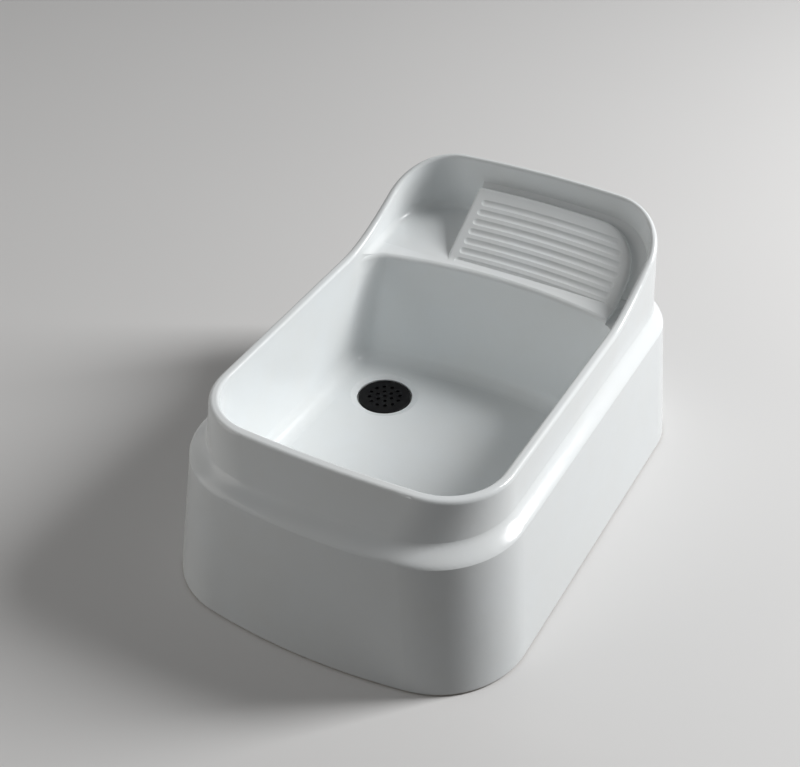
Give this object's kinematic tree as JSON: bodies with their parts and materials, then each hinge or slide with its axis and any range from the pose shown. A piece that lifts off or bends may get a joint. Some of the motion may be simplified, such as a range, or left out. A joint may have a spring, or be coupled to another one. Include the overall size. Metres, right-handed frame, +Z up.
{
  "type": "foot wash basin",
  "caption": "Floor-standing glazed fireclay foot wash basin with a deep bowl, rear shelf, ribbed foot rest, black strainer and lift-out water-seal waste.",
  "frame": {"origin": "middle of the footprint, on the floor", "axes": "+X to the right as seen by the person using it, +Y to the back (towards the raised rim), +Z up"},
  "size_m": [0.4014, 0.5994, 0.2822],
  "materials": {
    "fireclay": "glossy white glaze",
    "cover_plastic": "satin black moulded",
    "insert_plastic": "satin grey moulded",
    "steel": "brushed stainless",
    "seal_rubber": "matte black rubber",
    "trap_plastic": "white polypropylene",
    "nut_plastic": "white polypropylene, fluted",
    "slip_plastic": "smooth grey",
    "pipe_plastic": "smooth grey extruded"
  },
  "bodies": {
    "basin": {"basin_body": "fireclay", "waste_flange": "steel", "flange_gasket": "seal_rubber", "trap_gasket": "seal_rubber", "trap_body": "trap_plastic", "outlet_nut": "nut_plastic", "slip_ring": "slip_plastic", "outlet_seal": "seal_rubber", "outlet_pipe": "pipe_plastic"},
    "strainer_insert": {"strainer_cover": "cover_plastic", "dip_tube": "insert_plastic", "dip_tube_o_ring": "seal_rubber", "seal_cup": "insert_plastic"}
  },
  "joints": [
    {"name": "strainer_insert_lift", "type": "slide", "parent": "basin", "child": "strainer_insert", "axis": [0, 0, 1], "range_m": [0, 0.065]}
  ]
}
